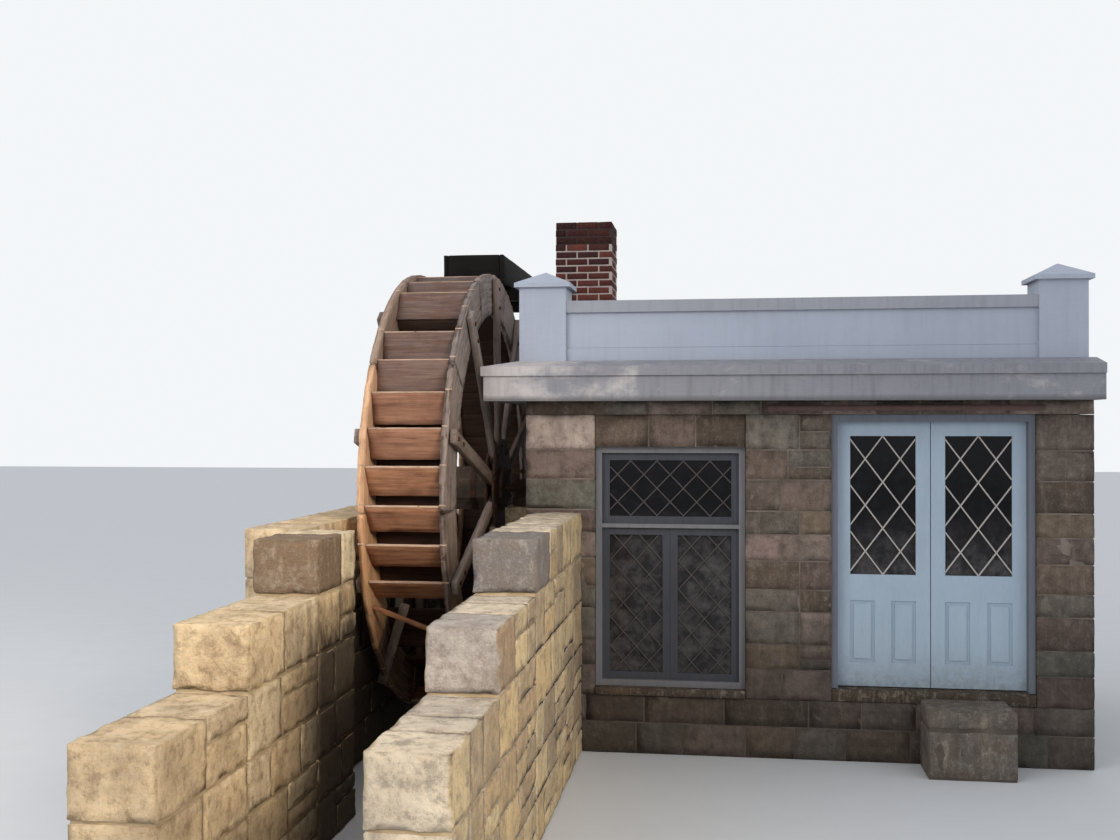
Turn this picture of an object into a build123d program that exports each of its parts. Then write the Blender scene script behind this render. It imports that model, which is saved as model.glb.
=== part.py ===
from build123d import *
import math
import os

# A small stone mill house with an overshot timber water wheel on its left side.
# Working frame, millimetres: X runs right along the front wall from its left corner,
# Y runs into the scene from the front face, Z is height above the door sill.
# The last function moves everything so that the origin is the middle of the base.

BASE = -550.0            # where walls and piers meet the ground
HOUSE_W = 4260.0         # front wall, left corner to party wall
HOUSE_D = 2900.0
WALL = 350.0             # stone wall thickness
PARTY_WALL = 250.0
PLINTH_TOP = -100.0
FLOOR_TOP, FLOOR_T = -10.0, 150.0
STEP_W, STEP_OUT, STEP_TOP, STEP_IN = 630.0, 400.0, -50.0, 630.0

# Double door: two leaves that open inward.
DOOR_H = 2030.0
LEAF_W, LEAF_T, LEAF_GAP = 699.0, 45.0, 6.0
JAMB, STOP_LAP, HEAD_LAP = 37.0, 11.0, 6.0
RIGHT_PIER = 410.0       # stone between the door and the party wall's end
LEAF_Y = 120.0           # outer face of the closed leaves
CASING_Y = 40.0
HEAD_T = 44.0
STILE, MUNTIN = 105.0, 126.0     # the muntin stands between the two low panels
GLASS_DROP, GLASS_H = 114.0, 1061.0
PANEL_Z0, PANEL_H, GROOVE, GROOVE_D = 185.0, 470.0, 26.0, 12.0
GLASS_T, GLASS_IN = 6.0, 19.0
HINGE_R, PIN_R, HINGE_FIT = 8.0, 4.0, 0.05
HINGE_FOOT, HINGE_HEAD = 250.0, 250.0
KNUCKLE, KNUCKLE_GAP, HINGE_PLATE, PLATE_T = 48.0, 2.0, 34.0, 3.0
DOOR_X1 = HOUSE_W - RIGHT_PIER
DOOR_X0 = DOOR_X1 - 2 * (JAMB + LEAF_GAP + LEAF_W) - LEAF_GAP
DOOR_HEAD = DOOR_H + LEAF_GAP + HEAD_T
SILL_DROP = 6.0

# Window: a fixed light over two casements.
LEFT_PIER, WIN_W, WIN_H, WIN_Z0 = 550.0, 1160.0, 1870.0, -40.0
WIN_FRAME, WIN_Y, WIN_FRAME_D, SASH, SASH_T, SASH_IN = 48.0, 60.0, 110.0, 58.0, 45.0, 35.0
TRANSOM_UP, TRANSOM_T, SASH_GAP = 1252.0, 30.0, 2.0
SILL_OUT = 20.0
WIN_X0, WIN_X1, WIN_Z1 = LEFT_PIER, LEFT_PIER + WIN_W, WIN_Z0 + WIN_H

# Wall head, cornice and roof.
TOP_COURSE_H = 320.0
WALL_TOP = DOOR_HEAD + TOP_COURSE_H
JOIST_W, JOIST_H, JOIST_STEP = 74.0, 200.0, 500.0
DECK_T = 100.0
DECK_TOP = WALL_TOP + DECK_T
CORNICE_OUT, FASCIA_OUT = 300.0, 280.0
FASCIA_H, CROWN_EDGE, CROWN_DROP = 191.0, 71.0, 25.0
CROWN_Z0 = WALL_TOP - CROWN_DROP
FASCIA_Z0 = CROWN_Z0 - FASCIA_H

# Parapet.
POST_H, LEFT_POST_W, RIGHT_POST_W, POST_D, POST_OUT, POST_IN = 583.0, 370.0, 350.0, 360.0, 50.0, 40.0
PANEL_Y, PANEL_T, KICK_T, KICK_H, BOARD_GAP = 40.0, 42.0, 50.0, 104.0, 2.0
RAIL_T, RAIL_D, RAIL_H, RAIL_UP = 110.0, 10.0, 92.0, 382.0
CAP_OVER, CAP_SLAB, CAP_RISE, CAP_TIP = 36.0, 34.0, 103.0, 6.0

# Chimney.
STACK_W, STACK_FROM_REAR, FLUE = 540.0, 360.0, 230.0
STACK_H, STACK_HEAD_H = 1220.0, 210.0

# Water wheel: two rings, arms lapped on their outer faces, and boarded buckets.
HUB_Y, HUB_Z = 820.0, 1460.0
WHEEL_R, RING_W, RING_T = 1830.0, 360.0, 55.0
ARM_T, ARM_W, ARM_ROOT, ARM_END = 50.0, 110.0, 20.0, 40.0
WHEEL_X0, WHEEL_X1 = -1060.0, -400.0    # outer faces of the two rings
ARMS, ARM_ANGLE = 10, 87.0              # degrees up from the side that faces the viewer
BUCKETS, BUCKET_ANGLE = 40, 82.5
SOLE_UP, SOLE_T, START_W, LIP_IN, LIP_TURN, BOARD_T = 30.0, 30.0, 130.0, 33.0, 0.72, 22.0
# Boards that the real wheel has lost, by the angle of their bucket.
LOST_FRONTS = (-70.5, -61.5, -52.5, -43.5, -34.5, 46.5)
LOST_STARTS = (-70.5, -61.5, -52.5, -34.5)
LOST_SOLES = (-61.5, -34.5)
BATTEN_R, BATTEN_W, BATTEN_ANGLES = 1785.0, 40.0, (-26.5, -35.3)
BOARD_PLAY, RING_PLAY = 0.8, 1.6        # half the gap between two boards, and between two felloes
SHAFT_FLAT, SHAFT_END, GUDGEON_R, JOURNAL_FIT = 360.0, 90.0, 32.0, 0.3
GUDGEON_LEFT, GUDGEON_RIGHT = 330.0, 260.0
FLANGE_R, FLANGE_T = 420.0, 14.0
RING_IN = WHEEL_R - RING_W
SOLE_R0 = RING_IN + SOLE_UP
SOLE_R1 = SOLE_R0 + SOLE_T
START_R1 = SOLE_R1 + START_W
LIP_R = WHEEL_R - LIP_IN
SHAFT_X0, SHAFT_X1 = WHEEL_X0 - SHAFT_END, WHEEL_X1 + SHAFT_END

# Walls beside the water.
PIT_DROP = 140.0         # from the wheel's axis down to the tops that carry it
PIT_TOP = HUB_Z - PIT_DROP
PIT_GAP, PIT_WALL_T = 60.0, 430.0
PIT_BACK = HOUSE_D - 100.0
PIT_WALL_X1 = WHEEL_X0 - ARM_T - PIT_GAP
PIT_WALL_X0 = PIT_WALL_X1 - PIT_WALL_T
PIER_R_W, PIER_R_D = 280.0, 520.0
BEARING_W, BEARING_D, BEARING_NECK, BEARING_STEP, BEARING_CAP = 150.0, 380.0, 180.0, 70.0, 75.0
STEP_TOPS = (PIT_TOP, 985.0, 636.0)
RIGHT_ENDS = (0.0, -2237.0, -3387.0, -4433.0)
LEFT_ENDS = (-1740.0, -2450.0, -3500.0, -4500.0)
RIGHT_TAIL_X0, RIGHT_TAIL_T = 50.0, 406.0
LEFT_TAIL_X0, LEFT_TAIL_T = -1250.0, 430.0
BED_JOINT = 0.3

# Flume: a boarded trough with a closed end and a slot in its floor over the crown.
FLUME_W, FLUME_T, FLUME_H = 560.0, 40.0, 260.0
FLUME_Y0, FLUME_SLOT, CROWN_GAP = HUB_Y + 630.0, 140.0, 10.0
FLUME_Y1 = HOUSE_D + 500.0
FLUME_Z0 = HUB_Z + WHEEL_R + CROWN_GAP
BEARER_H, BEARER_D, END_INSET, SIDE_INSET = 120.0, 120.0, 10.0, 5.0
STACK_GAP, RETURN_GAP = 20.0, 60.0      # from the near bearer to the chimney and to the parapet
NEAR_BEARER_Y = HOUSE_D - STACK_FROM_REAR - STACK_W - STACK_GAP - BEARER_D / 2
FAR_BEARER_Y = HOUSE_D + 160.0
RETURN_END = NEAR_BEARER_Y - BEARER_D / 2 - RETURN_GAP
DECK_POST_W, POST_W, FAR_HALF = 95.0, 110.0, 470.0

MOVE = (-(PIT_WALL_X0 + HOUSE_W) / 2, -(LEFT_ENDS[3] + FLUME_Y1) / 2, -BASE)


def block(x0, x1, y0, y1, z0, z1):
    return Pos((x0 + x1) / 2, (y0 + y1) / 2, (z0 + z1) / 2) * Box(x1 - x0, y1 - y0, z1 - z0)


def prism_x(points, x0, x1):
    plane = Plane(origin=(x0, 0, 0), x_dir=(0, 1, 0), z_dir=(1, 0, 0))
    return extrude(plane * Polygon(*points, align=None), amount=x1 - x0, dir=(1, 0, 0))


def prism_y(points, y0, y1):
    plane = Plane(origin=(0, y0, 0), x_dir=(1, 0, 0), z_dir=(0, -1, 0))
    return extrude(plane * Polygon(*points, align=None), amount=y1 - y0, dir=(0, 1, 0))


def prism_z(points, z0, z1):
    return extrude(Plane.XY.offset(z0) * Polygon(*points, align=None), amount=z1 - z0, dir=(0, 0, 1))


def rod_x(x0, x1, y, z, r):
    return Pos((x0 + x1) / 2, y, z) * Rot(0, 90, 0) * Cylinder(r, x1 - x0)


def rod_z(x, y, z0, z1, r):
    return Pos(x, y, (z0 + z1) / 2) * Cylinder(r, z1 - z0)


def front_walls():
    """The front wall, split beside and over its two openings."""
    base = block(0, HOUSE_W, 0, WALL, BASE, PLINTH_TOP)
    piers = [block(0, WIN_X0, 0, WALL, PLINTH_TOP, DOOR_HEAD),
             block(WIN_X1, DOOR_X0, 0, WALL, PLINTH_TOP, DOOR_HEAD),
             block(DOOR_X1, HOUSE_W, 0, WALL, PLINTH_TOP, DOOR_HEAD)]
    lintel = block(WIN_X0, WIN_X1, 0, WALL, WIN_Z1, DOOR_HEAD)
    top = block(0, HOUSE_W, 0, WALL, DOOR_HEAD, WALL_TOP)
    return {"front_base_course": [base], "front_piers": piers,
            "window_lintel": [lintel], "front_top_course": [top]}


def sills():
    window = block(WIN_X0, WIN_X1, -SILL_OUT, WALL, PLINTH_TOP, WIN_Z0)
    door = block(DOOR_X0, DOOR_X1, 0, WALL, PLINTH_TOP, -SILL_DROP)
    return {"sills": [window, door]}


def other_walls():
    back = HOUSE_D - WALL
    return {"left_wall": [block(0, WALL, WALL, back, BASE, WALL_TOP)],
            "rear_wall": [block(0, HOUSE_W, back, HOUSE_D, BASE, WALL_TOP)],
            "party_wall_right": [block(HOUSE_W - PARTY_WALL, HOUSE_W, WALL, back, BASE, WALL_TOP)]}


def floor_and_step():
    slab = block(WALL, HOUSE_W - PARTY_WALL, WALL, HOUSE_D - WALL, FLOOR_TOP - FLOOR_T, FLOOR_TOP)
    x1 = HOUSE_W - STEP_IN
    step = block(x1 - STEP_W, x1, -STEP_OUT, 0, BASE, STEP_TOP)
    return {"floor_slab": [slab], "door_step": [step]}


def roof():
    first, room = 2 * WALL, HOUSE_W - PARTY_WALL
    count = int((room - first - JOIST_W) / JOIST_STEP) + 1
    joists = [block(x, x + JOIST_W, WALL, HOUSE_D - WALL, WALL_TOP - JOIST_H, WALL_TOP)
              for x in (first + i * JOIST_STEP - JOIST_W / 2 for i in range(count))]
    deck = block(0, HOUSE_W, 0, HOUSE_D, WALL_TOP, DECK_TOP)
    return {"roof_joists": joists, "roof_deck": [deck]}


def mitred_pair(section, out, z0, z1):
    """A front run and a left return of one section, meeting on the diagonal at the corner."""
    corner, far = (-out - 1, -out - 1), (1, 1)
    front = prism_x(section, -out, HOUSE_W)
    front -= prism_z([corner, (-out - 1, 1), far], z0 - 5, z1 + 5)
    side = prism_y(section, -out, HOUSE_D)
    side -= prism_z([corner, (1, -out - 1), far], z0 - 5, z1 + 5)
    return [front, side]


def cornice():
    """A deep flat fascia under a thin crown that sheds water."""
    z0, z1 = FASCIA_Z0, CROWN_Z0
    fascia = [(-FASCIA_OUT, z0), (0, z0), (0, z1), (-FASCIA_OUT, z1)]
    crown = [(-CORNICE_OUT, z1), (0, z1), (0, DECK_TOP), (-POST_OUT, DECK_TOP),
             (-CORNICE_OUT, z1 + CROWN_EDGE)]
    return {"cornice_fascia": mitred_pair(fascia, FASCIA_OUT, z0, z1),
            "cornice_crown": mitred_pair(crown, CORNICE_OUT, z1, DECK_TOP)}


def post_spans():
    right = HOUSE_W - POST_IN
    return ((-POST_OUT, LEFT_POST_W - POST_OUT), (right - RIGHT_POST_W, right))


def parapet():
    (_, x0), (x1, _) = post_spans()
    rail_z, kick_z = DECK_TOP + RAIL_UP, DECK_TOP + KICK_H
    inner = PANEL_Y + PANEL_T
    front = [block(x0, x1, PANEL_Y, inner, kick_z + BOARD_GAP, rail_z),
             block(x0, x1, inner - KICK_T, inner, DECK_TOP, kick_z)]
    side = [block(0, PANEL_T, POST_D, RETURN_END, kick_z + BOARD_GAP, rail_z),
            block(PANEL_T - KICK_T, PANEL_T, POST_D, RETURN_END, DECK_TOP, kick_z)]
    shift = RAIL_D - PANEL_Y
    rails = [block(x0, x1, RAIL_D, RAIL_D + RAIL_T, rail_z, rail_z + RAIL_H),
             block(shift, shift + RAIL_T, POST_D, RETURN_END, rail_z, rail_z + RAIL_H)]
    posts = [block(a, b, 0, POST_D, DECK_TOP, DECK_TOP + POST_H) for a, b in post_spans()]
    return {"parapet_panels": front + side, "parapet_rails": rails, "parapet_posts": posts}


def parapet_caps():
    caps = []
    top = DECK_TOP + POST_H
    for a, b in post_spans():
        centre = ((a + b) / 2, POST_D / 2)
        w, d = b - a + 2 * CAP_OVER, POST_D + 2 * CAP_OVER
        slab = Pos(*centre, top + CAP_SLAB / 2) * Box(w, d, CAP_SLAB)
        foot = Plane.XY.offset(top + CAP_SLAB) * Pos(*centre) * Rectangle(w, d)
        tip = Plane.XY.offset(top + CAP_SLAB + CAP_RISE) * Pos(*centre) * Rectangle(CAP_TIP, CAP_TIP)
        caps.append(slab + loft([foot, tip]))
    return {"parapet_caps": caps}


def chimney():
    """Two lengths of one square stack, open from top to deck."""
    x = STACK_W / 2 - POST_OUT
    y = HOUSE_D - STACK_FROM_REAR - STACK_W / 2

    def tube(z0, height):
        solid = Box(STACK_W, STACK_W, height) - Box(FLUE, FLUE, height)
        return Pos(x, y, z0 + height / 2) * solid
    return {"chimney_stack": [tube(DECK_TOP, STACK_H)],
            "chimney_cap": [tube(DECK_TOP + STACK_H, STACK_HEAD_H)]}


def door_frame():
    """Two jambs and a head, with a stop in front of the leaves on all three sides."""
    back, front = LEAF_Y + LEAF_T, LEAF_Y - LEAF_GAP
    frame = block(DOOR_X0, DOOR_X1, CASING_Y, back, -SILL_DROP, DOOR_HEAD)
    inset = JAMB + STOP_LAP
    frame -= block(DOOR_X0 + inset, DOOR_X1 - inset, 0, WALL, BASE, DOOR_H - HEAD_LAP)
    frame -= block(DOOR_X0 + JAMB, DOOR_X1 - JAMB, front, WALL, BASE, DOOR_H + LEAF_GAP)
    return {"door_frame": [frame]}


def hinge_heights():
    return (HINGE_FOOT, (HINGE_FOOT + DOOR_H - HINGE_HEAD) / 2, DOOR_H - HINGE_HEAD)


def leaf(side):
    """One leaf, hung on the inner face at its jamb. side is -1 for left and 1 for right."""
    middle = (DOOR_X0 + DOOR_X1) / 2
    near = middle + side * LEAF_GAP / 2
    far = near + side * LEAF_W
    x0, x1 = sorted((near, far))
    y0, y1 = LEAF_Y, LEAF_Y + LEAF_T
    glass_z1 = DOOR_H - GLASS_DROP
    glass_z0 = glass_z1 - GLASS_H
    body = block(x0, x1, y0, y1, 0, DOOR_H)
    body -= block(x0 + STILE, x1 - STILE, 0, WALL, glass_z0, glass_z1)
    wide = (x1 - x0 - 2 * STILE - MUNTIN) / 2
    z0, z1 = PANEL_Z0, PANEL_Z0 + PANEL_H
    for a in (x0 + STILE, x1 - STILE - wide):
        sunk = block(a, a + wide, y0 - 1, y0 + GROOVE_D, z0, z1)
        raised = block(a + GROOVE, a + wide - GROOVE, y0 - 2, y0 + GROOVE_D + 1, z0 + GROOVE, z1 - GROOVE)
        body -= sunk - raised
    hinge_y = y1 + HINGE_R + 1
    half = KNUCKLE / 2
    plate_x0, plate_x1 = sorted((far, far - side * HINGE_PLATE))
    for z in hinge_heights():
        body += block(plate_x0, plate_x1, y1 - 1, y1 + PLATE_T, z - half, z + half)
        body += rod_z(far, hinge_y, z - half, z + half, HINGE_R)
        body -= rod_z(far, hinge_y, z - half - 1, z + half + 1, PIN_R + HINGE_FIT)
    pane = block(x0 + STILE, x1 - STILE, y0 + GLASS_IN, y0 + GLASS_IN + GLASS_T, glass_z0, glass_z1)
    return body, pane, far, hinge_y


def doors():
    left, left_pane, left_axis, hinge_y = leaf(-1)
    right, right_pane, right_axis, _ = leaf(1)
    fixed = KNUCKLE / 2
    start = KNUCKLE / 2 + KNUCKLE_GAP
    pins = []
    for axis, side in ((left_axis, -1), (right_axis, 1)):
        x0, x1 = sorted((axis, axis + side * HINGE_PLATE))
        for z in hinge_heights():
            pin = rod_z(axis, hinge_y, z - start - fixed, z + start + fixed, PIN_R)
            for low in (z - start - fixed, z + start):
                pin += rod_z(axis, hinge_y, low, low + fixed, HINGE_R)
                plate_y = LEAF_Y + LEAF_T
                pin += block(x0, x1, plate_y, plate_y + PLATE_T, low, low + fixed)
            pins.append(pin)
    return {"left_door_leaf": [left], "left_door_glass": [left_pane],
            "right_door_leaf": [right], "right_door_glass": [right_pane],
            "door_hinge_pins": pins}


def window():
    """A frame with a transom; one sash over it and two below, each with its pane."""
    f, y0, y1 = WIN_FRAME, WIN_Y, WIN_Y + WIN_FRAME_D
    low, high = WIN_Z0 + TRANSOM_UP - TRANSOM_T / 2, WIN_Z0 + TRANSOM_UP + TRANSOM_T / 2
    frame = block(WIN_X0, WIN_X1, y0, y1, WIN_Z0, WIN_Z1)
    frame -= block(WIN_X0 + f, WIN_X1 - f, 0, WALL, WIN_Z0 + f, low)
    frame -= block(WIN_X0 + f, WIN_X1 - f, 0, WALL, high, WIN_Z1 - f)
    mid = (WIN_X0 + WIN_X1) / 2
    openings = [(WIN_X0 + f, WIN_X1 - f, high, WIN_Z1 - f),
                (WIN_X0 + f, mid - SASH_GAP / 2, WIN_Z0 + f, low),
                (mid + SASH_GAP / 2, WIN_X1 - f, WIN_Z0 + f, low)]
    sash_y = y0 + SASH_IN
    sashes, panes = [], []
    for x0, x1, z0, z1 in openings:
        hole = block(x0 + SASH, x1 - SASH, 0, WALL, z0 + SASH, z1 - SASH)
        sashes.append(block(x0, x1, sash_y, sash_y + SASH_T, z0, z1) - hole)
        panes.append(block(x0 + SASH, x1 - SASH, sash_y + GLASS_IN, sash_y + GLASS_IN + GLASS_T,
                           z0 + SASH, z1 - SASH))
    return {"window_frame": [frame], "window_sashes": sashes, "window_glass": panes}


def stepped_wall(x0, thick, ends):
    """Three stone piers in a row, each lower than the one behind it, with a thin joint between them."""
    piers = []
    for i, top in enumerate(STEP_TOPS):
        joint = BED_JOINT if i else 0.0
        piers.append(block(x0, x0 + thick, ends[i + 1], ends[i] - joint, BASE, top))
    return piers


def water_walls():
    pit = block(PIT_WALL_X0, PIT_WALL_X1, LEFT_ENDS[0] + BED_JOINT, PIT_BACK, BASE, PIT_TOP)
    pier = block(-PIER_R_W, 0, HUB_Y - PIER_R_D / 2, HUB_Y + PIER_R_D / 2, BASE, PIT_TOP)
    return {"tailrace_wall_right": stepped_wall(RIGHT_TAIL_X0, RIGHT_TAIL_T, RIGHT_ENDS),
            "tailrace_wall_left": stepped_wall(LEFT_TAIL_X0, LEFT_TAIL_T, LEFT_ENDS),
            "wheel_pit_wall": [pit], "bearing_pier_right": [pier]}


def polar(r, degrees, across=0.0):
    """A point of the wheel in (Y, Z); across is a step along the rim, towards larger angles."""
    a = math.radians(degrees)
    return (HUB_Y - r * math.cos(a) + across * math.sin(a),
            HUB_Z + r * math.sin(a) + across * math.cos(a))


def ring_piece(a0, a1, x0, x1):
    p = [Vector(x0, *polar(r, a)) for r, a in
         ((RING_IN, a0), (WHEEL_R, a0), (WHEEL_R, (a0 + a1) / 2), (WHEEL_R, a1),
          (RING_IN, a1), (RING_IN, (a0 + a1) / 2))]
    edges = [Line(p[0], p[1]), ThreePointArc(p[1], p[2], p[3]),
             Line(p[3], p[4]), ThreePointArc(p[4], p[5], p[0])]
    return extrude(make_face(edges), amount=x1 - x0, dir=(1, 0, 0))


def wheel_rings():
    """Each ring is made of curved felloes that meet half way between two arms."""
    step = 360 / ARMS
    gap = math.degrees(RING_PLAY / WHEEL_R)
    pieces = []
    for x0 in (WHEEL_X0, WHEEL_X1 - RING_T):
        for i in range(ARMS):
            a0 = ARM_ANGLE + step * (i + 0.5)
            pieces.append(ring_piece(a0 + gap, a0 + step - gap, x0, x0 + RING_T))
    return {"wheel_rings": pieces}


def wheel_arms():
    """Straight arms from the shaft to just inside the rim, on the outer face of each ring."""
    w = ARM_W / 2
    root = SHAFT_FLAT / 2 / math.cos(math.radians(22.5)) + ARM_ROOT
    tip = WHEEL_R - ARM_END
    arms = []
    for x0 in (WHEEL_X0 - ARM_T, WHEEL_X1):
        for i in range(ARMS):
            a = ARM_ANGLE + i * 360 / ARMS
            section = [polar(root, a, -w), polar(tip, a, -w), polar(tip, a, w), polar(root, a, w)]
            arms.append(prism_x(section, x0, x0 + ARM_T))
    return {"wheel_arms": arms}


def front_board(a):
    """The section of one sloping bucket front, from its start board out to its lip."""
    pitch = 360 / BUCKETS
    p, q = polar(START_R1 + 1, a, -BOARD_T / 2), polar(LIP_R, a + LIP_TURN * pitch)
    n = Vector(q[1] - p[1], p[0] - q[0]).normalized() * BOARD_T
    out = Vector(p[0] - HUB_Y, p[1] - HUB_Z)
    if n.dot(out) < 0:
        n = n * -1
    return [p, q, (q[0] + n.X, q[1] + n.Y), (p[0] + n.X, p[1] + n.Y)]


def is_lost(a, angles):
    return any(abs(a - b) < 180 / BUCKETS for b in angles)


def wheel_boards():
    """Sole boards, the start board of each bucket, and the front boards that are still there."""
    pitch = 360 / BUCKETS
    x0, x1 = WHEEL_X0 + RING_T, WHEEL_X1 - RING_T
    t, play = BOARD_T / 2, BOARD_PLAY
    sole, starts, fronts = [], [], [batten(x0, x1)]
    for i in range(BUCKETS):
        a = (BUCKET_ANGLE + i * pitch + 180) % 360 - 180
        if not is_lost(a, LOST_SOLES):
            sole.append(prism_x([polar(SOLE_R0, a, play), polar(SOLE_R1, a, play),
                                 polar(SOLE_R1, a + pitch, -play), polar(SOLE_R0, a + pitch, -play)], x0, x1))
        if not is_lost(a, LOST_STARTS):
            starts.append(prism_x([polar(SOLE_R1, a, -t), polar(START_R1, a, -t),
                                   polar(START_R1, a, t), polar(SOLE_R1, a, t)], x0, x1))
        if not is_lost(a, LOST_FRONTS):
            fronts.append(prism_x(front_board(a), x0, x1))
    return {"wheel_sole": sole, "wheel_start_boards": starts, "wheel_front_boards": fronts}


def batten(x0, x1):
    """A thin batten left from the lost boards, which runs askew from ring to ring."""
    ends = []
    for x, a in ((x0, BATTEN_ANGLES[0]), (x1, BATTEN_ANGLES[1])):
        y, z = polar(BATTEN_R, a)
        ends.append(Plane(origin=(x, y, z), x_dir=(0, 1, 0), z_dir=(1, 0, 0)) * Rectangle(BOARD_T, BATTEN_W))
    return loft(ends)


def octagon(flat):
    r = flat / 2 / math.cos(math.radians(22.5))
    return [polar(r, 22.5 + 45 * i) for i in range(8)]


def wheel_middle():
    """The eight-sided shaft, the gudgeons at its ends, and iron flanges that clamp the arms."""
    shaft = prism_x(octagon(SHAFT_FLAT), SHAFT_X0, SHAFT_X1)
    gudgeons = [rod_x(SHAFT_X0 - GUDGEON_LEFT, SHAFT_X0, HUB_Y, HUB_Z, GUDGEON_R),
                rod_x(SHAFT_X1, SHAFT_X1 + GUDGEON_RIGHT, HUB_Y, HUB_Z, GUDGEON_R)]
    flanges = []
    for face, out in ((WHEEL_X0, -1), (WHEEL_X1, 1)):
        for x in (face + out * (ARM_T + FLANGE_T), face):
            x0, x1 = sorted((x, x - out * FLANGE_T))
            disc = rod_x(x0, x1, HUB_Y, HUB_Z, FLANGE_R)
            flanges.append(disc - prism_x(octagon(SHAFT_FLAT), x0 - 1, x1 + 1))
    return {"wheel_shaft": [shaft], "wheel_gudgeons": gudgeons, "wheel_flanges": flanges}


def bearings():
    """Stepped timber blocks that carry the gudgeons on the pit wall and on the pier."""
    left = (PIT_WALL_X0 + PIT_WALL_X1 - BEARING_W) / 2
    right = -(PIER_R_W + BEARING_W) / 2
    blocks = []
    for x0 in (left, right):
        x1 = x0 + BEARING_W
        body = block(x0, x1, HUB_Y - BEARING_D / 2, HUB_Y + BEARING_D / 2, PIT_TOP, PIT_TOP + BEARING_STEP)
        neck = BEARING_NECK / 2
        body += block(x0, x1, HUB_Y - neck, HUB_Y + neck, PIT_TOP, HUB_Z + BEARING_CAP)
        body -= rod_x(x0 - 1, x1 + 1, HUB_Y, HUB_Z, GUDGEON_R + JOURNAL_FIT)
        blocks.append(body)
    return {"wheel_bearings": blocks}


def flume():
    """The trough, two bearers under it, and the posts that carry them."""
    mid = (WHEEL_X0 + WHEEL_X1) / 2
    x0, x1 = mid - FLUME_W / 2, mid + FLUME_W / 2
    t, y0, y1, z0 = FLUME_T, FLUME_Y0, FLUME_Y1, FLUME_Z0
    boards = [block(x0, x0 + t, y0, y1, z0, z0 + FLUME_H),
              block(x1 - t, x1, y0, y1, z0, z0 + FLUME_H),
              block(x0 + t + BED_JOINT, x1 - t - BED_JOINT, y0 + t + FLUME_SLOT, y1, z0, z0 + t),
              block(x0 + t + BED_JOINT, x1 - t - BED_JOINT, y0, y0 + t, z0, z0 + FLUME_H)]
    low, half = FLUME_Z0 - BEARER_H, BEARER_D / 2
    left = PIT_WALL_X1 - END_INSET
    right = DECK_POST_W - POST_OUT
    near = (left - POST_W - END_INSET, right + SIDE_INSET)
    far = (mid - FAR_HALF, mid + FAR_HALF)
    bearers = [block(*near, NEAR_BEARER_Y - half, NEAR_BEARER_Y + half, low, FLUME_Z0),
               block(*far, FAR_BEARER_Y - half, FAR_BEARER_Y + half, low, FLUME_Z0)]
    near_y = (NEAR_BEARER_Y - half + SIDE_INSET, NEAR_BEARER_Y + half - SIDE_INSET)
    far_y = (FAR_BEARER_Y - half + SIDE_INSET, FAR_BEARER_Y + half - SIDE_INSET)
    posts = [block(left - POST_W, left, *near_y, PIT_TOP, low),
             block(right - DECK_POST_W, right, *near_y, DECK_TOP, low),
             block(far[0] + END_INSET, far[0] + END_INSET + POST_W, *far_y, BASE, low),
             block(far[1] - END_INSET - POST_W, far[1] - END_INSET, *far_y, BASE, low)]
    return {"flume_trough": boards, "flume_bearers": bearers, "flume_posts": posts}


def main():
    os.makedirs("parts", exist_ok=True)
    makers = (front_walls, sills, other_walls, floor_and_step, roof, cornice, parapet, parapet_caps,
              chimney, door_frame, doors, window, water_walls, wheel_rings, wheel_arms, wheel_boards,
              wheel_middle, bearings, flume)
    for make in makers:
        for node, solids in make().items():
            shape = Compound(children=[s for piece in solids for s in piece.solids()])
            export_step(Pos(*MOVE) * shape, f"parts/{node}.step")


main()
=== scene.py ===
import math
import random

import bpy
import numpy as np
from mathutils import Matrix, Vector, noise


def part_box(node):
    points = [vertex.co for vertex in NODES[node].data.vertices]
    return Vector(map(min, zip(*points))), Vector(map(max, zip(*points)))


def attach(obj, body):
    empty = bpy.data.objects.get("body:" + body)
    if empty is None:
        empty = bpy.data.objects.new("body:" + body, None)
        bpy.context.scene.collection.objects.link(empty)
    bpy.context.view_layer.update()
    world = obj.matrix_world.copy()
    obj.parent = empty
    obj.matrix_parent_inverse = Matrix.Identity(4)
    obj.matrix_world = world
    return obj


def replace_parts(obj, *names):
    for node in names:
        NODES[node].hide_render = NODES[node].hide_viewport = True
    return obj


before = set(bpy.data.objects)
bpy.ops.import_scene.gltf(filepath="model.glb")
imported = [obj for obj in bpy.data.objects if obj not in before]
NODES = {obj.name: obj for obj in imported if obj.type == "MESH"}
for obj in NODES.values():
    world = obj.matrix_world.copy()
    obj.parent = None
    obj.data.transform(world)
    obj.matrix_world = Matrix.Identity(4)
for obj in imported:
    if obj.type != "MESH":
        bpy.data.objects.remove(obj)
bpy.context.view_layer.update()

# House coordinates, in metres: X right from the front wall's left corner, Y in from its face,
# Z above the door sill. ORIGIN moves them into the frame.
WALL_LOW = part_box("front_base_course")[0]
ORIGIN = Vector((WALL_LOW.x, WALL_LOW.y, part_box("left_door_leaf")[0].z))
BASE = -ORIGIN.z
TINY = 1e-6
WELD_DIGITS = 5  # points that agree to so many decimals of a metre are one
random.seed(7)


def at(x, y, z):
    """A point given in house coordinates, in the frame."""
    return ORIGIN + Vector((x, y, z))


def extents(node):
    """A node's box in house coordinates: x0, x1, y0, y1, z0, z1."""
    low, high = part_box(node)
    low, high = low - ORIGIN, high - ORIGIN
    return low.x, high.x, low.y, high.y, low.z, high.z


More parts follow.
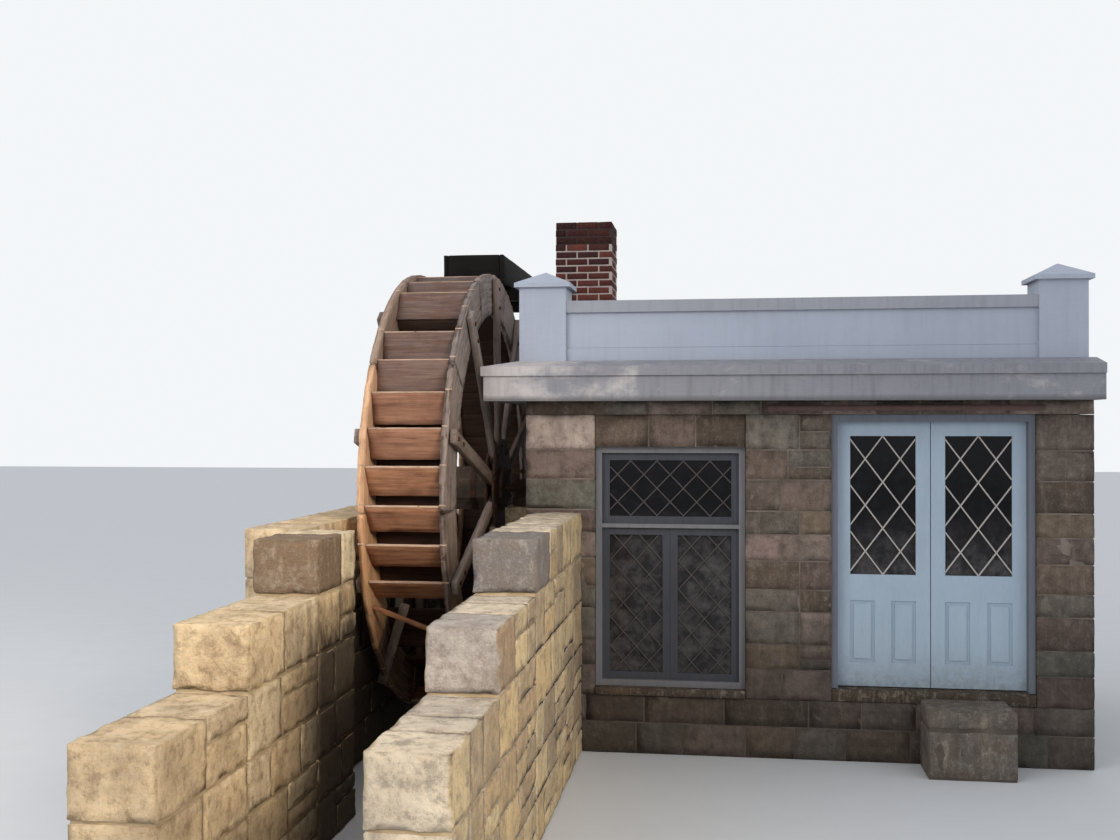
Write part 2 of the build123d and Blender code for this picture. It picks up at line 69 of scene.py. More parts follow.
def pieces(node):
    """The points of each of a node's separate solids, in house coordinates."""
    mesh = NODES[node].data
    parent = list(range(len(mesh.vertices)))

    def root(i):
        while parent[i] != i:
            parent[i] = parent[parent[i]]
            i = parent[i]
        return i

    spots = {}
    for v in mesh.vertices:
        key = tuple(round(c, WELD_DIGITS) for c in v.co)
        parent[root(v.index)] = root(spots.setdefault(key, v.index))
    for e in mesh.edges:
        parent[root(e.vertices[0])] = root(e.vertices[1])
    groups = {}
    for v in mesh.vertices:
        groups.setdefault(root(v.index), []).append(v.co - ORIGIN)
    return [np.unique(np.round(np.array(points), WELD_DIGITS), axis=0) for points in groups.values()]


def solids(node):
    """The boxes of a node's separate solids, in house coordinates, from left to right."""
    boxes = []
    for points in pieces(node):
        lo, hi = points.min(0), points.max(0)
        boxes.append((lo[0], hi[0], lo[1], hi[1], lo[2], hi[2]))
    return sorted(boxes)


class Nodes:
    """Shorthands for building a material's node tree."""

    def __init__(self, name):
        self.mat = bpy.data.materials.new(name)
        self.mat.use_nodes = True
        self.tree = self.mat.node_tree
        self.shader = self.tree.nodes["Principled BSDF"]

    def new(self, kind, **settings):
        """A node, with values for its sockets or its own settings, by name."""
        node = self.tree.nodes.new(kind)
        for key, value in settings.items():
            if key in node.inputs.keys():
                node.inputs[key].default_value = value
            else:
                setattr(node, key, value)
        return node

    def feed(self, socket, value):
        """Gives a socket a number or a colour, or links another node's output to it."""
        if isinstance(value, (int, float)):
            socket.default_value = value
        elif isinstance(value, tuple):
            socket.default_value = (*value, 1)
        else:
            self.tree.links.new(value, socket)

    def place(self, scale=(1, 1, 1), attribute=None):
        """Object coordinates, or a named attribute, stretched by scale."""
        if attribute:
            source = self.new("ShaderNodeAttribute", attribute_name=attribute).outputs["Vector"]
        else:
            source = self.new("ShaderNodeTexCoord").outputs["Object"]
        mapping = self.new("ShaderNodeMapping", Scale=scale)
        self.feed(mapping.inputs["Vector"], source)
        return mapping.outputs["Vector"]

    def split(self, vector):
        """A vector's outputs X, Y and Z."""
        node = self.new("ShaderNodeSeparateXYZ")
        self.feed(node.inputs["Vector"], vector)
        return node.outputs

    def normal(self):
        """The outputs X, Y and Z of the way a surface faces."""
        return self.split(self.new("ShaderNodeNewGeometry").outputs["Normal"])

    def tone(self):
        return self.new("ShaderNodeAttribute", attribute_name="tone").outputs["Fac"]

    def noise(self, vector, scale, detail=6.0, rough=0.6):
        node = self.new("ShaderNodeTexNoise", Scale=scale, Detail=detail, Roughness=rough)
        self.feed(node.inputs["Vector"], vector)
        return node.outputs["Fac"]

    def ramp(self, fac, stops):
        node = self.new("ShaderNodeValToRGB")
        ends = node.color_ramp.elements
        while len(ends) < len(stops):
            ends.new(0.5)
        for end, (where, colour) in zip(ends, stops):
            end.position = where
            end.color = (*colour, 1)
        self.feed(node.inputs["Fac"], fac)
        return node.outputs["Color"]

    def even_ramp(self, fac, colours):
        """A ramp with its colours at equal steps from 0 to 1."""
        return self.ramp(fac, [(i / (len(colours) - 1), c) for i, c in enumerate(colours)])

    def grey(self, fac, low, high, a=0.0, b=1.0):
        """Maps a factor from low..high to a..b, clamped."""
        node = self.new("ShaderNodeMapRange", **{"From Min": low, "From Max": high, "To Min": a, "To Max": b})
        self.feed(node.inputs["Value"], fac)
        return node.outputs["Result"]

    def mix(self, fac, a, b):
        node = self.new("ShaderNodeMix", data_type="RGBA")
        for index, value in ((0, fac), (6, a), (7, b)):  # the sockets for a factor and two colours
            self.feed(node.inputs[index], value)
        return node.outputs[2]

    def wash(self, base, fac, low, high, most, colour, share=1.0):
        """Lays a colour over base: nothing of it where the factor is low, most where it is high. share is
        how much of the colour is in what is laid on, the rest being base."""
        over = colour if share == 1.0 else self.mix(share, base, colour)
        return self.mix(self.grey(fac, low, high, 0.0, most), base, over)

    def math(self, kind, a, b=0.0):
        node = self.new("ShaderNodeMath", operation=kind)
        self.feed(node.inputs[0], a)
        self.feed(node.inputs[1], b)
        return node.outputs[0]

    def finish(self, colour, rough, height, bump, distance, metal=0.0, shine=0.5):
        """Sets the shader. shine is its specular level, and height, bump and distance give the relief."""
        self.feed(self.shader.inputs["Base Color"], colour)
        self.feed(self.shader.inputs["Roughness"], rough)
        self.shader.inputs["Specular IOR Level"].default_value = shine
        self.shader.inputs["Metallic"].default_value = metal
        relief = self.new("ShaderNodeBump", Strength=bump, Distance=distance)
        self.feed(relief.inputs["Height"], height)
        self.feed(self.shader.inputs["Normal"], relief.outputs["Normal"])
        return self.mat


def srgb(r, g, b):
    """A colour given as it looks on screen, 0 to 255."""
    return tuple((c / 255 / 12.92) if c / 255 <= 0.04045 else ((c / 255 + 0.055) / 1.055) ** 2.4
                 for c in (r, g, b))


def shades(*colours):
    return [srgb(*c) for c in colours]


def scaled(colour, factor):
    return tuple(c * factor for c in colour)


# How high dampness rises on the house, and how high the dark on the walls of the wheel's channel reaches,
# partly dampness and partly painted shade, and the stretch along Y over which it grows in the channel, all in
# the frame.
RISING = (0.75, 1.40)
CHANNEL_DAMP_AND_SHADE = (1.20, 1.55, (-2.75, -1.85))


def damp_and_shade(n, base, low, high, near=None):
    """A dark that rises from the ground to a ragged line between low and high: dampness on the house. near
    gives the stretch along Y over which it grows; then only faces turned to the wheel's channel have it, and
    there it is partly dampness and partly painted shade."""
    place = n.split(n.place())
    ragged = n.grey(n.noise(n.place((2.5, 2.5, 0.8)), 2.6, 6.0, 0.7), 0.3, 0.7, -0.2, 0.2)
    darkening = n.grey(n.math("ADD", place["Z"], ragged), low, high, 1.0, 0.0)
    # In the channel the dark is partly dampness and partly painted shade, cast by the other wall and the
    # wheel.
    if near:
        darkening = n.math("MULTIPLY", darkening, n.grey(place["Y"], *near))
        darkening = n.math("MULTIPLY", darkening, n.grey(n.normal()["X"], 0.2, 0.6))
        return n.mix(n.math("MULTIPLY", darkening, 0.93), base, srgb(45, 38, 33))
    return n.mix(n.math("MULTIPLY", darkening, 0.50), base, srgb(44, 40, 35))


# A block with this tone stands out: a pale stone on the house, and a top block in painted shade on the channel
# walls.
ODD_AND_SHADED = -1.0  # the tone of a block that stands out


def stone_material(name, colours, grime, pits=1.0, stain=0.5, fleck=0.3, mottle=0.55,
                   blotch=(0.30, 0.17, 0.09), pale=(0.72, 0.62, 0.48), sides=None, odd_and_shaded=None, darkening=None):
    """Cut stone, one tone a block, stained and pitted. sides gives the colours of faces turned sideways,
    odd_and_shaded the colour of a block with the tone ODD_AND_SHADED, which on the channel walls is painted
    shade, and darkening the limits of the dampness, which in the channel is partly painted shade."""
    n = Nodes(name)
    p = n.place()
    tone = n.tone()
    base = n.even_ramp(tone, colours)
    if sides:
        turned = n.grey(n.math("ABSOLUTE", n.normal()["X"]), 0.45, 0.8)
        base = n.mix(turned, base, n.even_ramp(tone, sides))
    # The colour of a block that stands out, which on the channel walls is painted shade.
    if odd_and_shaded:
        base = n.mix(n.grey(tone, ODD_AND_SHADED, 0.0, 1.0, 0.0), base, odd_and_shaded)
    cloudy = n.noise(p, 3.5, 4.0, 0.65)
    warm = n.noise(p, 6.5, 5.0, 0.6)
    patchy = n.noise(p, 13.0, 6.0, 0.72)
    fine = n.noise(p, 42.0, 6.0, 0.7)
    grain = n.noise(p, 95.0, 4.0, 0.7)
    drips = n.noise(n.place((8.0, 8.0, 1.5)), 2.6, 7.0, 0.7)
    hollow, light_grain, dark_grain = (0.02, 0.018, 0.015), (0.55, 0.50, 0.43), (0.03, 0.028, 0.026)
    layers = ((cloudy, 0.42, 0.68, stain, grime, 1.0),
              (warm, 0.40, 0.72, 0.50, blotch, 0.5),
              (patchy, 0.50, 0.64, mottle, grime, 0.72),
              (patchy, 0.47, 0.34, 0.42, pale, 0.5),
              (fine, 0.35, 0.70, 0.28, hollow, 0.5),
              (drips, 0.52, 0.68, 0.45, grime, 0.55),
              (drips, 0.46, 0.34, 0.30, pale, 0.5),
              (grain, 0.55, 0.75, fleck, light_grain, 1.0),
              (grain, 0.42, 0.30, fleck, dark_grain, 1.0))
    for layer in layers:
        base = n.wash(base, *layer)
    # Dampness, which in the channel is partly painted shade.
    if darkening:
        base = damp_and_shade(n, base, *darkening)
    height = n.math("ADD", fine, n.math("MULTIPLY", grain, 0.25))
    height = n.math("ADD", height, n.math("MULTIPLY", patchy, -1.3))
    return n.finish(base, n.grey(fine, 0.3, 0.7, 0.8, 0.97), height, 0.75 * pits, 0.012, shine=0.2)


def mortar_material(name, dark, middle, pale, darkening):
    n = Nodes(name)
    p = n.place()
    base = n.ramp(n.noise(p, 5.0, 5.0), [(0.3, dark), (0.55, middle), (0.8, pale)])
    base = damp_and_shade(n, base, *darkening)
    return n.finish(base, 0.95, n.noise(p, 60.0, 5.0, 0.7), 0.8, 0.006, shine=0.2)


def brick_material(name, shade):
    n = Nodes(name)
    p = n.place()
    colours = shades((74, 38, 34), (98, 50, 42), (112, 60, 50), (86, 46, 44), (62, 34, 33))
    base = n.even_ramp(n.tone(), [scaled(c, shade) for c in colours])
    fine = n.noise(p, 90.0, 5.0, 0.7)
    base = n.wash(base, n.noise(p, 9.0, 5.0, 0.65), 0.45, 0.75, 0.55, (0.022, 0.017, 0.016))
    base = n.wash(base, fine, 0.5, 0.8, 0.25, (0.32, 0.22, 0.18))
    return n.finish(base, 0.92, fine, 0.7, 0.005, shine=0.2)


def brick_mortar_material(name, colour):
    n = Nodes(name)
    p = n.place()
    base = n.wash(colour, n.noise(p, 8.0), 0.4, 0.7, 0.5, scaled(colour, 0.55))
    return n.finish(base, 0.95, n.noise(p, 70.0, 5.0, 0.7), 0.6, 0.004, shine=0.2)


def paint_material(name, colour, dirt, wear, grain_along, streaks, gloss=0.55, pale_patches_and_sunlit_end=None, splash=None,
                   dark_bottom_edge=None):
    """Old paint on boards: brushed grain, streaks that run down, grime and worn patches.
    pale_patches_and_sunlit_end gives the colour of pale blotches and the X from which they fade to the right,
    their greater share at that end being painted sunlight;
    splash the colour of dirt thrown up from the sill; dark_bottom_edge the height of the bottom edge, along
    which the paint is darker."""
    n = Nodes(name)
    p = n.place()
    place = n.split(p)
    grain = n.noise(n.place(grain_along), 28.0, 6.0, 0.65)
    cloud = n.noise(p, 2.2, 5.0, 0.6)
    streak = n.noise(n.place((9.0, 9.0, 0.8)), 2.4, 6.0, 0.7)
    chips = n.noise(p, 26.0, 8.0, 0.75)
    base = n.wash(colour, cloud, 0.35, 0.7, 0.4, scaled(colour, 0.82))
    if splash:
        low = n.grey(place["Z"], ORIGIN.z + 0.02, ORIGIN.z + 0.42, 1.0, 0.0)
        darkening = n.math("MULTIPLY", n.math("MULTIPLY", low, low), n.grey(chips, 0.36, 0.6, 0.25, 1.0))
        base = n.mix(n.math("MULTIPLY", darkening, 0.55), base, splash)
    # Pale blotches, laid thicker at the left end as painted sunlight.
    if pale_patches_and_sunlit_end:
        pale, left = pale_patches_and_sunlit_end
        blotch = n.noise(n.place((1.2, 1.2, 1.7)), 2.6, 6.0, 0.68)
        blotch = n.math("ADD", blotch, n.grey(place["X"], left, left + 1.5, 0.24, -0.07))
        blotch = n.math("ADD", blotch, n.grey(streak, 0.3, 0.7, -0.07, 0.07))
        base = n.wash(base, blotch, 0.50, 0.72, 0.75, pale)
    base = n.wash(base, streak, 0.48, 0.78, streaks, dirt)
    base = n.wash(base, grain, 0.45, 0.75, 0.22, dirt)
    base = n.wash(base, chips, 0.66, 0.70, wear, srgb(120, 108, 94))
    # Darker along the bottom edge.
    if dark_bottom_edge is not None:
        base = n.mix(n.grey(place["Z"], dark_bottom_edge + 0.012, dark_bottom_edge + 0.045, 0.7, 0.0), base, dirt)
    height = n.math("ADD", grain, n.math("MULTIPLY", n.grey(chips, 0.66, 0.70), -1.2))
    return n.finish(base, n.grey(streak, 0.3, 0.8, gloss, 0.85), height, 0.30, 0.002)


def timber_material(name, colours, dark, weather, depth=0.62):
    """Weathered boards: the grain runs along each board's own first axis. depth is its contrast."""
    n = Nodes(name)
    along = n.place((1.2, 16.0, 16.0), "grain")
    rings = n.noise(along, 2.2, 7.0, 0.62)
    cracks = n.noise(along, 3.4, 9.0, 0.75)
    fibre = n.noise(n.place((2.5, 70.0, 70.0), "grain"), 1.6, 6.0, 0.7)
    cloud = n.noise(n.place(), 4.5, 5.0, 0.6)
    base = n.even_ramp(n.tone(), colours)
    base = n.wash(base, rings, 0.40, 0.66, depth, dark)
    base = n.wash(base, fibre, 0.45, 0.75, 0.40, weather)
    base = n.wash(base, cloud, 0.48, 0.75, 0.55, dark)
    base = n.wash(base, cracks, 0.64, 0.68, 0.85, (0.012, 0.009, 0.007))
    height = n.math("ADD", n.math("MULTIPLY", rings, 0.8), n.math("MULTIPLY", fibre, 0.5))
    height = n.math("SUBTRACT", height, n.math("MULTIPLY", n.grey(cracks, 0.62, 0.68), 0.9))
    return n.finish(base, n.grey(fibre, 0.3, 0.8, 0.72, 0.95), height, 0.55, 0.006, shine=0.2)


def iron_material():
    n = Nodes("rusty_iron")
    rust = n.noise(n.place(), 22.0, 7.0, 0.7)
    base = n.ramp(rust, [(0.3, srgb(30, 26, 25)), (0.5, srgb(70, 46, 34)), (0.7, srgb(112, 66, 42))])
    return n.finish(base, n.grey(rust, 0.35, 0.7, 0.55, 0.9), rust, 0.5, 0.003, metal=0.35)


def glass_material():
    """Dark old panes, painted as dark as the unlit room behind them, with a pale mottled layer on their lower
    part: dust and a painted reflection.
    """
    n = Nodes("old_glass")
    p = n.place()
    dust = n.noise(p, 14.0, 6.0, 0.7)
    base = n.wash((0.006, 0.006, 0.007), dust, 0.5, 0.8, 0.25, (0.035, 0.035, 0.035))
    # A pale mottled layer on the lower panes: dust and a painted reflection.
    dust_and_reflection = n.grey(n.split(p)["Z"], ORIGIN.z + 0.9, ORIGIN.z + 1.35, 1.0, 0.0)
    dust_and_reflection = n.math("MULTIPLY", dust_and_reflection, n.grey(n.noise(p, 8.0, 6.0, 0.75), 0.42, 0.64, 0.15, 0.75))
    base = n.mix(dust_and_reflection, base, srgb(92, 88, 88))
    n.shader.inputs["IOR"].default_value = 1.5
    rough = n.grey(dust, 0.4, 0.8, 0.05, 0.25)
    return n.finish(base, rough, n.noise(p, 5.0, 2.0, 0.5), 0.08, 0.01, shine=0.14)


def plain_rough_material(name, a, b, scale, bump=0.4):
    """A rough surface that drifts between two colours, in clouds whose size scale gives."""
    n = Nodes(name)
    p = n.place()
    cloud = n.noise(p, scale, 7.0, 0.65)
    fine = n.noise(p, scale * 14, 4.0, 0.6)
    height = n.math("ADD", cloud, n.math("MULTIPLY", fine, 0.4))
    return n.finish(n.wash(a, cloud, 0.35, 0.68, 1.0, b), 0.9, height, bump, 0.004, shine=0.2)


SANDSTONE = stone_material(
    "sandstone", shades((74, 62, 55), (122, 106, 88), (105, 87, 80), (110, 111, 100), (142, 122, 113),
                        (84, 73, 61), (127, 122, 112), (92, 76, 69), (158, 140, 130)),
    srgb(54, 48, 44), pits=0.9, fleck=0.22, blotch=srgb(130, 110, 94), pale=srgb(172, 158, 148),
    odd_and_shaded=srgb(200, 180, 168), darkening=RISING)
# On the channel walls the dark colour of a block that stands out is painted shade, and the dark of the ochre
# stone in the channel is partly dampness and partly painted shade.
GRANITE = stone_material(
    "granite_block", shades((182, 172, 163), (206, 192, 172), (234, 215, 186)), srgb(120, 111, 100),
    pits=1.2, stain=0.4, fleck=0.42, mottle=0.8, odd_and_shaded=srgb(120, 115, 114),
    sides=shades((176, 146, 112), (220, 190, 140), (148, 128, 106), (204, 180, 140), (228, 202, 154)))
OCHRE_STONE = stone_material(
    "ochre_block", shades((206, 178, 138), (232, 204, 160), (238, 210, 166), (214, 184, 144),
                          (242, 222, 184), (224, 198, 160)),
    srgb(130, 106, 80), pits=1.3, stain=0.45, fleck=0.4, mottle=0.75, odd_and_shaded=srgb(124, 104, 85), darkening=CHANNEL_DAMP_AND_SHADE)
FLAGSTONE = stone_material("flagstone", shades((92, 88, 82), (108, 102, 94)), srgb(60, 56, 50))
DARK_SILL = stone_material("dark_sill", shades((58, 52, 46), (72, 64, 56)), srgb(36, 32, 28))
MORTAR = mortar_material("mortar", *shades((96, 86, 78), (122, 110, 100), (146, 134, 122)), RISING)
# The pale mortar's dark in the channel is partly dampness and partly painted shade.
PALE_MORTAR = mortar_material(
    "pale_mortar", *shades((148, 130, 102), (178, 156, 124), (202, 182, 150)), CHANNEL_DAMP_AND_SHADE)
BRICK = brick_material("chimney_brick", 1.0)
SOOT_BRICK = brick_material("sooty_brick", 0.45)
BRICK_MORTAR = brick_mortar_material("brick_mortar", srgb(186, 170, 162))
SOOT_MORTAR = brick_mortar_material("sooty_mortar", srgb(70, 58, 54))

ALONG_X, UPRIGHT, EVEN = (0.4, 6, 14), (9, 9, 0.5), (4, 4, 4)  # how the brushed grain of paint is stretched
CORNICE_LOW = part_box("cornice_fascia")[0]
# The cornice's pale blotches thin out to the right from its left end, which is painted sunlit, and its bottom
# edge is darker.
CORNICE_PAINT = paint_material("cornice_paint", srgb(136, 136, 142), srgb(80, 77, 76), 0.45, ALONG_X, 0.4,
                               pale_patches_and_sunlit_end=(srgb(204, 196, 192), CORNICE_LOW.x), dark_bottom_edge=CORNICE_LOW.z)
RAIL_PAINT = paint_material("rail_paint", srgb(152, 154, 161), srgb(112, 112, 114), 0.15, ALONG_X, 0.3)
PARAPET_PAINT = paint_material(
    "parapet_paint", srgb(168, 174, 187), srgb(126, 130, 138), 0.12, ALONG_X, 0.18)
DOOR_PAINT = paint_material("door_paint", srgb(166, 182, 196), srgb(116, 128, 138), 0.08, UPRIGHT, 0.15,
                            gloss=0.5, splash=srgb(112, 114, 104))
CASING_PAINT = paint_material("casing_paint", srgb(106, 110, 119), srgb(66, 68, 72), 0.3, UPRIGHT, 0.3)
WINDOW_PAINT = paint_material("window_frame_paint", srgb(116, 115, 118), srgb(74, 72, 72), 0.3, UPRIGHT, 0.3)
SASH_PAINT = paint_material("sash_paint", srgb(60, 62, 70), srgb(36, 36, 40), 0.2, UPRIGHT, 0.3)
SASH_BAR = paint_material("sash_bar_paint", srgb(74, 67, 65), srgb(46, 42, 40), 0.2, EVEN, 0.3)
BAR_PAINT = paint_material("lattice_paint", srgb(186, 178, 172), srgb(132, 122, 112), 0.2, EVEN, 0.3)
HEAD_PAINT = paint_material("door_head_paint", srgb(104, 78, 74), srgb(60, 50, 46), 0.3, ALONG_X, 0.3)

# The left ring's timber: warm and bright as painted sunlight, darker at the foot and the crown as painted
# shade.
SUNLIT_AND_SHADED_TIMBER = timber_material(
    "sunlit_and_shaded_timber", shades((80, 61, 50), (212, 164, 122), (222, 176, 136), (206, 168, 138), (152, 132, 118),
                          (114, 102, 98)),
    srgb(128, 91, 67), srgb(224, 194, 162), depth=0.45)
# Front boards: darker at the foot, partly dampness and partly painted shade from the channel wall, and dark
# grey towards the crown as painted shade under the flume.
BUCKET_SHADED_TIMBER = timber_material(
    "bucket_shaded_timber", shades((136, 88, 60), (202, 144, 102), (154, 111, 88), (118, 98, 90), (88, 82, 82)),
    srgb(88, 56, 41), srgb(180, 144, 118), depth=0.65)
# The lips of the front boards, painted pale as a highlight along each lip.
LIP_HIGHLIGHT_TIMBER = timber_material(
    "lip_highlight", shades((182, 152, 130), (200, 170, 146)), srgb(120, 92, 75), srgb(212, 190, 170))
# Sole and start boards, painted dark brown as the shade inside the buckets.
INNER_SHADE_TIMBER = timber_material(
    "inner_shade_timber", shades((62, 42, 32), (78, 54, 42), (50, 36, 28)), srgb(20, 14, 11), srgb(92, 72, 60))
GREY_TIMBER = timber_material("grey_timber", shades((118, 101, 92), (142, 124, 113), (146, 135, 130)),
                              srgb(66, 54, 47), srgb(172, 157, 144))
# The flume's timbers: dark timber, painted near-black with the shade it lies in.
SHADED_DARK_TIMBER = timber_material(
    "dark_timber", shades((20, 15, 12), (26, 20, 17), (17, 13, 11)), srgb(6, 5, 4), srgb(28, 23, 20))
SHAFT_TIMBER = plain_rough_material("shaft_timber", srgb(66, 54, 46), srgb(98, 84, 74), 10.0, 0.6)
IRON = iron_material()
GLASS = glass_material()
ROOF_COVER = plain_rough_material("roof_cover", srgb(74, 74, 74), srgb(104, 102, 98), 4.0)
# Roof joists and wheel bearings, painted dark as the shade they stand in.
SHADED_WOOD = plain_rough_material("shaded_wood", srgb(58, 44, 34), srgb(84, 66, 52), 12.0)

# What a bevel is at most, as a part of its side, and how far, as parts of a bevel, corner and edge points
# are pulled in to round a block.
MOST_BEVEL, CORNER_PULL, EDGE_PULL = 0.3, 0.42, 0.29
ONE_CELL = 10  # a cell size above every length here, so that a face isn't divided


def box_grid(size, cell, bevel):
    """A box's surface as a grid with rounded edges: points, faces, and how each point lies on the faces."""
    axes = []
    for length in size:
        b = min(bevel, length * MOST_BEVEL)
        count = max(1, round((length - 2 * b) / cell))
        axes.append([0.0] + [b + (length - 2 * b) * i / count for i in range(count + 1)] + [length])
    n = [len(a) - 1 for a in axes]
    index, points, sides, faces = {}, [], [], []

    def point(key):
        if key not in index:
            index[key] = len(points)
            points.append([axes[a][key[a]] - size[a] / 2 for a in range(3)])
            sides.append([-1 if key[a] == 0 else 1 if key[a] == n[a] else 0 for a in range(3)])
        return index[key]

    for axis in range(3):
        u, v = (axis + 1) % 3, (axis + 2) % 3
        for end in (0, n[axis]):
            for i in range(n[u]):
                for j in range(n[v]):
                    quad = []
                    for di, dj in ((0, 0), (1, 0), (1, 1), (0, 1)):
                        key = [0, 0, 0]
                        key[axis], key[u], key[v] = end, i + di, j + dj
                        quad.append(point(tuple(key)))
                    faces.append(quad if end else quad[::-1])
    points, sides = np.array(points), np.array(sides, float)
    extremes = np.abs(sides).sum(1)
    pull = np.where(extremes == 3, CORNER_PULL, np.where(extremes == 2, EDGE_PULL, 0.0)) * bevel
    points -= sides * pull[:, None]
    return points, faces, sides


class Pile:
    """Many blocks gathered into one piece. Each block has a tone, and a grain that follows its own axes."""

    def __init__(self, name):
        self.name = name
        self.points, self.faces, self.tones, self.grain, self.slots = [], [], [], [], []

    def add(self, size, place, cell=0.08, bevel=0.008, rough=0.0, lumps=9.0, tone=None, slot=0, bend=None):
        """One block of a size, put in place by a matrix. rough is the most that its faces lose, and lumps
        how fine the dents are. bend moves its points before the matrix does."""
        points, faces, sides = box_grid(size, cell, bevel)
        shift = Vector([random.uniform(-50, 50) for _ in range(3)])
        local = points + np.array([random.uniform(0, 40) for _ in range(3)])
        if rough:
            for i, p in enumerate(points):
                q = Vector(p) * lumps + shift
                amount = 0.5 + 0.5 * noise.noise(q) + 0.3 * noise.noise(q * 2.7) + 0.2 * noise.noise(q * 6.1)
                points[i] -= sides[i] * rough * max(0.0, min(1.0, amount))
        if bend:
            points = np.array([bend(Vector(p)) for p in points])
        start = len(self.points)
        self.points += [place @ Vector(p) for p in points]
        self.faces += [[start + i for i in f] for f in faces]
        self.tones += [random.random() if tone is None else tone] * len(points)
        self.grain += local.tolist()
        self.slots += [slot] * len(faces)

    def build(self, body, materials, smooth=True):
        """Makes the piece's mesh, which rides on a body."""
        mesh = bpy.data.meshes.new(self.name)
        mesh.from_pydata([tuple(p) for p in self.points], [], self.faces)
        tone = mesh.attributes.new("tone", "FLOAT", "POINT")
        tone.data.foreach_set("value", self.tones)
        grain = mesh.attributes.new("grain", "FLOAT_VECTOR", "POINT")
        grain.data.foreach_set("vector", [c for g in self.grain for c in g])
        for m in materials:
            mesh.materials.append(m)
        mesh.polygons.foreach_set("material_index", self.slots)
        mesh.polygons.foreach_set("use_smooth", [smooth] * len(self.faces))
        mesh.update()
        obj = bpy.data.objects.new(self.name, mesh)
        bpy.context.scene.collection.objects.link(obj)
        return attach(obj, body)


def block_between(pile, x0, x1, y0, y1, z0, z1, **how):
    """An upright block between two corners, in house coordinates. Its grain runs along its longest side."""
    size = (x1 - x0, y1 - y0, z1 - z0)
    middle = at((x0 + x1) / 2, (y0 + y1) / 2, (z0 + z1) / 2)
    order = sorted(range(3), key=lambda a: -size[a])
    turn = Matrix([[1.0 if order[c] == r else 0.0 for c in range(3)] for r in range(3)])
    if turn.determinant() < 0:
        turn = Matrix([[-v if c == 2 else v for c, v in enumerate(row)] for row in turn])
    pile.add(tuple(size[a] for a in order), Matrix.Translation(middle) @ turn.to_4x4(), **how)


def course_levels(z0, z1, heights):
    """Bed joints from z0 to z1 with about the given heights in turn. The last course takes up what is
    left, up to 1.45 times its own height."""
    levels, i = [z0], 0
    while levels[-1] < z1 - TINY:
        step = heights[i % len(heights)]
        if z1 - levels[-1] < step * 1.45:
            step = z1 - levels[-1]
        levels.append(levels[-1] + step)
        i += 1
    return levels


def cut_lengths(length, low, high):
    """Random lengths, from about low to high, that add up to a whole."""
    lengths, left = [], length
    while left > high:
        step = random.uniform(low, high)
        if left - step < low * 0.8:
            step = left - low
        lengths.append(step)
        left -= step
    return lengths + [left]


def masonry(name, node, levels, low, high, material, joint=0.009, proud=0.010, rough=0.012, bevel=0.010,
            cell=0.075, along=0, mortar=MORTAR, lumps=9.0, split=0.0, tones=None):
    """Replaces a plain wall by its stones, laid in courses on a mortar core, all inside the wall's box.
    The stones are low to high long, along X (0) or Y (1); split is the share of places with two thin
    stones, one on the other. tones gives the tone of the first block of a solid's course, by the numbers
    of the solid and the course."""
    pile = Pile(name)
    for number, (x0, x1, y0, y1, z0, z1) in enumerate(solids(node)):
        block_between(pile, x0 + proud, x1 - proud, y0 + proud, y1 - proud, z0 + 0.001, z1 - proud,
                      cell=ONE_CELL, bevel=0.001, tone=0.5, slot=1)
        rows = [z0] + [z for z in levels if z0 + 0.02 < z < z1 - 0.02] + [z1]
        start, end = (y0, y1) if along else (x0, x1)
        for row, (a, b) in enumerate(zip(rows, rows[1:])):
            place = start
            for length in cut_lengths(end - start, low, high):
                first, last = place <= start + TINY, place + length >= end - TINY
                s = start if first else place + joint / 2
                e = end if last else place + length - joint / 2
                back = random.uniform(0, 0.004)
                span = (x0 + back, x1 - back, s, e) if along else (s, e, y0 + back, y1 - back)
                top = b - joint / 2 if b < z1 - TINY else b
                bottom = a + joint / 2 if a > z0 + TINY else a
                tone = (tones or {}).get((number, row)) if first else None
                cuts = [bottom, top]
                if split and not first and random.random() < split:
                    cuts.insert(1, bottom + (top - bottom) * random.uniform(0.35, 0.65))
                for low_cut, high_cut in zip(cuts, cuts[1:]):
                    block_between(pile, *span, low_cut + (joint / 2 if low_cut > bottom else 0),
                                  high_cut - (joint / 2 if high_cut < top else 0),
                                  cell=cell, bevel=bevel, rough=rough, lumps=lumps, tone=tone)
                place += length
    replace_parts(pile.build("mill", [material, mortar]), node)


# Heights above the sill: the tops of the base course, the piers and the walls, and the joints in the
# course over the piers and in the door step.
BASE_TOP, PIER_TOP, WALL_TOP, TOP_JOINT, STEP_JOINT = -0.10, 2.08, 2.40, 2.19, -0.19
FRONT_LEVELS = course_levels(BASE_TOP, PIER_TOP, [0.23, 0.19, 0.25, 0.17, 0.22, 0.20, 0.18, 0.24])
SIDE_LEVELS = course_levels(BASE, WALL_TOP, [0.24, 0.21, 0.23, 0.19, 0.25, 0.17, 0.22])
WATER_LEVELS = [BASE + h for h in (0.30, 0.56, 0.84, 1.185, 1.535)]


